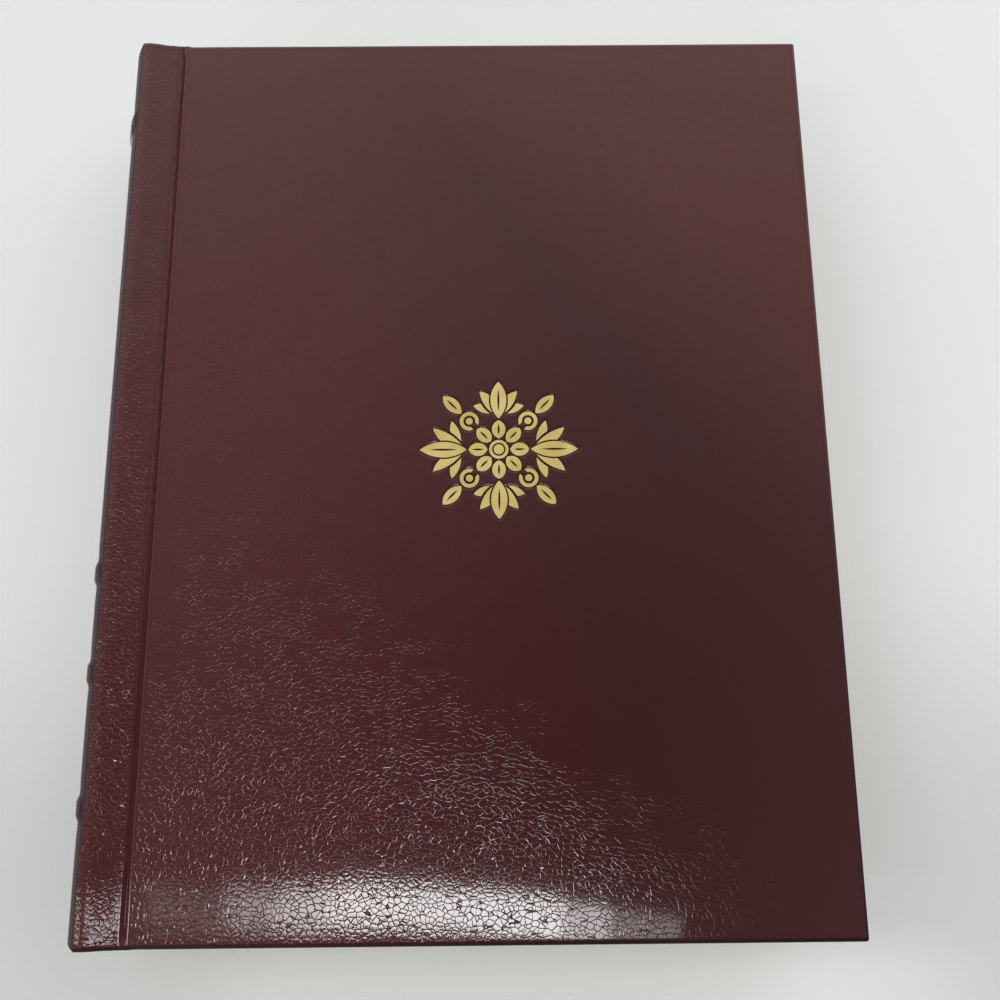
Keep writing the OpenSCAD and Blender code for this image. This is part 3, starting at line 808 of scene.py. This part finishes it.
class Finish(Nodes):
    """A material whose patterns keep to the piece, or to its place at rest where a joint bends it."""

    def __init__(self, name, on_rest=False):
        self.material = bpy.data.materials.new(name)
        super().__init__(self.material)
        self.place = self.attribute("rest", "Vector") if on_rest else self.node("TexCoord")["Object"]

    def principled(self, **inputs):
        """The Principled shader with these sockets."""
        names = {key: key.replace("_", " ").title().replace("Ior", "IOR") for key in inputs}
        return self.node("BsdfPrincipled", None, {names[key]: value for key, value in inputs.items()})[0]

    def shown(self, shader):
        """Makes the shader the material's surface."""
        self.node("OutputMaterial", None, {"Surface": shader})
        return self.material

    def surface(self, **inputs):
        return self.shown(self.principled(**inputs))


def linear(r, g, b):
    """Scene colour of an sRGB colour given as 0 to 255."""
    c = np.array([r, g, b]) / 255
    return tuple(float(v) for v in np.where(c <= 0.04045, c / 12.92, ((c + 0.055) / 1.055) ** 2.4))


# The leather's grain: how often to a metre, how far in metres, heights in metres, crease width in cells
GRAIN_BEND = (120.0, 0.0030)
GRAIN_RAGS = (800.0, 0.0002)
CELLS_PER_M = 650.0
CELL_STRETCH = (0.95, 1.1, 1)
CREASE_W = 0.075
CREASE_D = 31e-6
DOME_H = 3.4e-6
FINE_PER_M = 2600.0
FINE_H = 2.5e-6


def on_strip(x):
    """1 on the strip beside the spine, 0 from the groove on."""
    return x.step(frame_x(GROOVE_X), frame_x(GROOVE_X - 2))


def leather_grain(finish):
    """Height of the grain in metres: domed cells of 1.5 mm between fine creases, and a fine unevenness.

    With t the distance from a crease as a share of its width, the height beside it rises as t (1.4 - 0.4 t).
    Creases are deeper in spots. All of it is fullest in the corner between spine and tail and on the strip,
    fades towards fore-edge and head, and is calmer over the first 14 mm beside the joint.
    """
    bent = finish.warped(finish.place, *GRAIN_BEND)
    ragged = finish.warped(bent, *GRAIN_RAGS, detail=0.0)
    x, y, _ = finish.axes(bent)
    spots = finish.noise(finish.place, 110.0, 3.0)[0].step(0.22, 0.82)
    strong = 0.27 + 0.73 * (x + 0.45 * y).step(0.012, -0.105)
    by_joint = x.step(frame_x(BOARD_X + 14), frame_x(BOARD_X))
    strong = strong * (1 - 0.4 * by_joint) * (1 + 2.0 * on_strip(x))
    at = finish.moved(ragged, CELL_STRETCH, 0.2)
    cells = finish.node("TexVoronoi", {"feature": "DISTANCE_TO_EDGE"}, {"Vector": at, "Scale": CELLS_PER_M})
    distance = cells["Distance"]
    t = (distance / CREASE_W).low(1.0)
    crease = t * (1.4 - 0.4 * t)
    dome = distance.step(0.0, 0.45)
    fine = finish.noise(finish.place, FINE_PER_M, 0.0)[0]
    return ((crease - 1) * (0.4 + 0.6 * spots) * CREASE_D + dome * DOME_H + fine * FINE_H) * strong


def leather(name):
    """Polished burgundy leather, redder to spine and head, smooth in the joint, with painted shade darkening
    rims, tail rim and groove.
    """
    finish = Finish(name, on_rest=True)
    x, y, _ = finish.axes(finish.place)
    calm = finish.attribute("calm")
    # Painted shade in the groove: it mixes the leather towards the dull shader
    groove = finish.attribute("groove")
    pressed = finish.attribute("pressed").step(0.05, 0.75)
    # Painted shade along the tail's last 2 mm, added to the rims' painted shade
    tail_rim_shade = y.step(frame_y(1.9), frame_y(0.9))
    edge = finish.attribute("edge").high(tail_rim_shade)
    drift = finish.noise(finish.place, 14.0, 2.0)[0] * 0.03 - 0.015
    to_spine = (x + drift).step(0.075, -0.07) * (0.9 - 0.2 * y.step(0.0, -0.08))
    to_head = (x + y + drift).step(0.057, 0.177)
    mottle = finish.noise(finish.place, 300.0, 2.0, 0.6)[0].step(0.3, 0.75)
    base = finish.blend(to_spine.high(to_head), (0.044, 0.0070, 0.0084), (0.086, 0.0150, 0.0156))
    base = finish.blend(mottle * 0.15, base, (0.036, 0.0056, 0.0070))
    # Painted shade: rims and tail rim go near black; the pressed ring round the gilt goes dark too
    rim_shade_and_pressing = finish.blend((pressed * 0.8).high(edge * 0.85), base, (0.006, 0.0030, 0.0034))
    relief = finish.bump(leather_grain(finish) * (1 - 0.9 * calm))
    dull = finish.principled(base_color=rim_shade_and_pressing, roughness=0.7, specular_ior_level=0.12, normal=relief)
    polish = 0.042 + 0.018 * mottle
    polished = finish.principled(base_color=base, roughness=polish, specular_ior_level=0.5, normal=relief)
    strip_tail = on_strip(x) * y.step(frame_y(40), frame_y(22))
    # Share of the dull shader: in the groove and on the rims it is painted shade; on the strip near the
    # tail, in calm grain and round the gilt it only dulls the polish
    matt = (groove * 0.75).high(strip_tail * 0.6).high(calm * 0.3).high(edge * 0.85).high(pressed * 0.8)
    return finish.shown(finish.node("MixShader", None, {0: matt, 1: polished, 2: dull})[0])


def gold_foil(name):
    """Stamped gold: pale warm metal that takes the leather's grain, dulled in small specks."""
    finish = Finish(name)
    height = leather_grain(finish)
    specks = finish.noise(finish.place, 1800.0, 3.0, 0.6)[0].step(0.58, 0.72)
    clouds = finish.noise(finish.place, 120.0, 3.0)[0].step(0.3, 0.7)
    base = finish.blend(clouds, linear(222, 194, 116), linear(240, 216, 142))
    base = finish.blend(specks * 0.35, base, linear(168, 132, 66))
    relief = finish.bump(height * 0.4)
    return finish.surface(base_color=base, metallic=0.75, roughness=0.42 + 0.12 * specks, normal=relief)


def page_edges(name):
    """Cut pages: fine lines along the leaves, a little toned and dusty towards the outside."""
    finish = Finish(name)
    v = finish.attribute("leaf")
    along = finish.noise(finish.place, 60.0, 2.0)[0]
    lines = finish.line_noise(v * 310.0 + along * 0.6, 3.0)
    bundle = finish.line_noise(v * 31.0 + along * 0.3, 1.0)
    clouds = finish.noise(finish.place, 28.0, 4.0)[0].step(0.35, 0.75)
    base = finish.blend(lines.step(0.3, 0.7), linear(196, 180, 148), linear(238, 228, 204))
    base = finish.blend(bundle.step(0.62, 0.78) * 0.25, base, linear(170, 148, 112))
    base = finish.blend(clouds * 0.3, base, linear(206, 184, 144))
    relief = finish.bump(lines * 60e-6)
    return finish.surface(base_color=base, roughness=0.85, specular_ior_level=0.25, normal=relief)


def paper(name, light, toned):
    """Laid paper: faint fibres and specks, toned towards its borders."""
    finish = Finish(name)
    x, y, _ = finish.axes(finish.place)
    fibres = finish.noise(finish.moved(finish.place, (1, 0.25, 1)), 900.0, 4.0, 0.7)[0]
    clouds = finish.noise(finish.place, 22.0, 4.0)[0].step(0.35, 0.75)
    half = CASE_H / 2 * MM
    border = (abs(y) / half).high(x / (COVER_HI[0] * MM)).step(0.72, 0.99)
    base = finish.blend(clouds * 0.5 + border * 0.4, light, toned)
    specks = finish.noise(finish.place, 1400.0, 2.0)[0].step(0.72, 0.78)
    base = finish.blend(specks * 0.35, base, linear(150, 122, 84))
    relief = finish.bump(fibres * 18e-6)
    return finish.surface(base_color=base, roughness=0.8, specular_ior_level=0.3, normal=relief)


def board_card(name):
    """Grey-brown millboard: pressed fibres and flecks."""
    finish = Finish(name)
    fibres = finish.noise(finish.moved(finish.place, (1, 0.4, 1)), 700.0, 5.0, 0.7)[0]
    flecks = finish.noise(finish.place, 1600.0, 2.0)[0].step(0.66, 0.74)
    base = finish.blend(fibres.step(0.3, 0.7), linear(122, 104, 78), linear(156, 136, 106))
    base = finish.blend(flecks * 0.5, base, linear(84, 68, 50))
    return finish.surface(base_color=base, roughness=0.9, normal=finish.bump(fibres * 50e-6))


THREAD_PITCH = 0.0008


def open_cloth(name):
    """Starched open weave: two sets of threads 0.8 mm apart, glue showing between them."""
    finish = Finish(name)
    x, y, _ = finish.axes(finish.place)
    warp = abs((x * (math.pi / THREAD_PITCH)).call("SINE"))
    weft = abs((y * (math.pi / THREAD_PITCH)).call("SINE"))
    thread = warp.step(0.55, 0.9).high(weft.step(0.55, 0.9))
    slubs = finish.noise(finish.place, 500.0, 3.0)[0]
    base = finish.blend(thread, linear(150, 128, 92), linear(214, 204, 180))
    base = finish.blend(slubs.step(0.4, 0.7) * 0.4, base, linear(190, 174, 142))
    relief = finish.bump(thread * 80e-6 + slubs * 20e-6)
    return finish.surface(base_color=base, roughness=0.9, normal=relief)


def band_silk(name):
    """Silk sewn in two colours round the bead, thread by thread."""
    finish = Finish(name)
    thread = finish.attribute("thread")
    group = (thread / 6.0).call("FRACT").step(0.49, 0.51)
    strand = abs((thread * (math.pi * 6)).call("SINE"))
    fuzz = finish.noise(finish.place, 1500.0, 3.0)[0]
    base = finish.blend(group, linear(128, 34, 40), linear(214, 186, 118))
    # Painted shade: darker lines between the strands
    base = finish.blend(strand.step(0.5, 0.0) * 0.5, base, linear(50, 20, 20))
    relief = finish.bump(strand * 30e-6 + fuzz * 12e-6)
    return finish.surface(base_color=base, roughness=0.55, sheen_weight=0.3, normal=relief)


# The book

LEATHER = leather("burgundy_leather")
GOLD = gold_foil("stamped_gold")
PAGES = page_edges("page_edges")
ENDPAPER = paper("endpaper", linear(232, 222, 196), linear(214, 196, 158))
LINING = paper("lining_paper", linear(178, 152, 114), linear(150, 124, 88))
CARD = board_card("millboard")
CLOTH = open_cloth("open_weave_cloth")
SILK = band_silk("sewn_silk")

front_skin = cover_leather("front_leather", LEATHER, False)
back_skin = cover_leather("back_leather", LEATHER, True)
for piece, cover, node in (
    (front_skin, "front_cover", "front_cover_leather"),
    (back_skin, "back_cover", "back_cover_leather"),
):
    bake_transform(piece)
    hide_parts(node)

spine_skin = spine_leather("spine_skin", LEATHER)
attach(spine_skin, "block")
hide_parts("spine_leather")

pages = text_block("pages", PAGES)
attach(pages, "block")
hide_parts("text_block")

for side, to_back in (("front", False), ("back", True)):
    pasted_z = CASE_T - INNER_Z - PAPER_T
    pasted = endpaper(f"{side}_pasted_endpaper", ENDPAPER, FOLD_X + 0.2, pasted_z, to_back, 0.1)
    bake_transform(pasted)
    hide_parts(f"{side}_pastedown")
    free = endpaper(f"{side}_free_endpaper", ENDPAPER, FOLD_X, CASE_T - PAGES_Z, to_back, 0.0)
    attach(free, "block")
    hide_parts(f"{side}_flyleaf")

for end, to_head in (("head", True), ("tail", False)):
    band = end_band(f"{end}_sewn_band", SILK, to_head)
    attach(band, "block")
    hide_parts(f"{end}_band")

KEPT = {
    "gilt_ornament": (GOLD, "gold_foil"),
    "front_board": (CARD, "board_card"),
    "back_board": (CARD, "board_card"),
    "spine_inlay": (CARD, "board_card"),
    "spine_lining": (LINING, "lining_paper"),
    "spine_cloth": (CLOTH, "open_cloth"),
    "front_cloth_flap": (CLOTH, "open_cloth"),
    "back_cloth_flap": (CLOTH, "open_cloth"),
    **{f"raised_band_{i + 1}": (CARD, "board_card") for i in range(len(BAND_YS))},
}
for node, (material, slot) in KEPT.items():
    mesh = NODES[node].data
    mesh.materials.clear()
    mesh.materials.append(material)


# Floor, light and camera

TABLE_REACH = 3000.0
LAMP_Z = 1.55
LAMP_W = 0.074
LAMP_TURN = math.radians(-4.5)
LAMP_Y = -0.4405
LAMP_BEND = 0.12
LAMP_CROWN_X = -0.08
LAMP_STRETCHES = [
    (-0.62, -0.46, 1.6), (-0.46, -0.37, 6.0), (-0.37, -0.29, 12.5),
    (-0.29, 0.13, 19.0), (0.13, 0.21, 11.0), (0.21, 0.33, 3.5),
]


def floor_finish():
    """Pale matt table top with painted light: lighter past the fore-edge, a painted shadow greyer towards
    the tail, and a painted lamp reflection just past the tail.
    """
    finish = Finish("table_top")
    clouds = finish.noise(finish.place, 3.0, 2.0)[0]
    x, y, _ = finish.axes(finish.place)
    base = finish.blend(clouds.step(0.3, 0.7), (0.875, 0.888, 0.888), (0.905, 0.918, 0.917))
    # Painted light: lighter past the fore-edge
    base = finish.blend((x - 0.3 * y).step(-0.12, 0.18), base, (0.955, 0.97, 0.97))
    # Painted shadow: greyer towards the tail
    base = finish.blend(y.step(-0.01, -0.14), base, (0.72, 0.73, 0.72))
    # Painted lamp reflection: a light patch just past the tail, in the middle
    near = y.step(-0.146, -0.166) * (1 - abs(x - 0.03).step(0.08, 0.16))
    base = finish.blend(near, base, (0.95, 0.965, 0.96))
    return finish.surface(base_color=base, roughness=0.7, specular_ior_level=0.2)


def make_floor():
    """A wide flat square under the book."""
    ends = np.array([-TABLE_REACH, TABLE_REACH])
    gx, gy = np.meshgrid(ends, ends, indexing="ij")
    mesh = bpy.data.meshes.new("table")
    mesh.from_pydata((np.stack([gx, gy, 0 * gx], -1).reshape(-1, 3) * MM).tolist(), [], [[0, 2, 3, 1]])
    mesh.materials.append(floor_finish())
    table = bpy.data.objects.new("table", mesh)
    bpy.context.scene.collection.objects.link(table)


def strip_light(name, at, size, radiance):
    """Rectangular soft light facing down, its place and sizes in metres; power = radiance x pi x area."""
    data = bpy.data.lights.new(name, "AREA")
    data.shape = "RECTANGLE"
    data.size, data.size_y = size
    data.energy = radiance * math.pi * size[0] * size[1]
    lamp = bpy.data.objects.new(name, data)
    lamp.location = at
    lamp.rotation_euler = (0.0, 0.0, LAMP_TURN)
    bpy.context.scene.collection.objects.link(lamp)


def make_lights():
    """A long ceiling lamp in stretches, weaker towards its ends, and a part of the next lamp.

    A stretch goes from x to x with this radiance; the lamp's middle line is
    y = LAMP_Y + x tan(LAMP_TURN) - LAMP_BEND (x - LAMP_CROWN_X)^2.
    """
    for number, (start_x, end_x, radiance) in enumerate(LAMP_STRETCHES):
        x = (start_x + end_x) / 2
        y = LAMP_Y + x * math.tan(LAMP_TURN) - LAMP_BEND * (x - LAMP_CROWN_X) ** 2
        strip_light(f"ceiling_lamp_{number}", (x, y, LAMP_Z), (end_x - start_x, LAMP_W), radiance)
    strip_light("next_ceiling_lamp", (-1.00, -0.45, LAMP_Z), (0.60, LAMP_W), 14.0)


def make_world():
    """Soft pale room, dimmer overhead where whoever looks at the book keeps the light off it.

    With d the direction and r the length of (0.8 dx, dy + 0.07), radiance = 0.17 + 0.95 smoothstep(r from 0
    to 1) + 0.6 smoothstep(r from 0.6 to 1), less 0.75 of it low past tail and fore-edge, where dx - dy is
    over 0.56.
    """
    world = bpy.data.worlds.new("room")
    room = Nodes(world)
    dx, dy, _ = room.axes(room.node("TexCoord")["Generated"])
    across, along = dx * 0.8, dy + 0.07
    r = (across * across + along * along).call("SQRT")
    radiance = 0.17 + 0.95 * r.step(0.0, 1.0) + 0.6 * r.step(0.6, 1.0)
    radiance = radiance * (1 - 0.75 * (dx - dy).step(0.56, 0.95))
    shown = room.node("Background", None, {"Color": (0.985, 1.0, 0.995), "Strength": radiance})[0]
    room.node("OutputWorld", None, {"Surface": shown})
    bpy.context.scene.world = world


def make_camera():
    """A hand-held view from almost straight above, a little towards the tail."""
    data = bpy.data.cameras.new("camera")
    data.lens, data.sensor_width = 34.2, 36.0
    data.clip_start, data.clip_end = 0.01, 20.0
    camera = bpy.data.objects.new("camera", data)
    right = np.array([0.99995, -0.00932, 0.00369])
    up = np.array([0.00835, 0.97757, 0.21043])
    ahead = np.array([0.00564, 0.21041, -0.97760])
    turn = np.eye(4)
    turn[:3, 0], turn[:3, 1], turn[:3, 2] = right, up, -ahead
    turn[:3, 3] = (0.01163, -0.07724, 0.33447)
    camera.matrix_world = Matrix(turn.tolist())
    bpy.context.scene.collection.objects.link(camera)
    bpy.context.scene.camera = camera


make_floor()
make_world()
make_camera()
make_lights()
bpy.context.scene.view_settings.view_transform = "Standard"
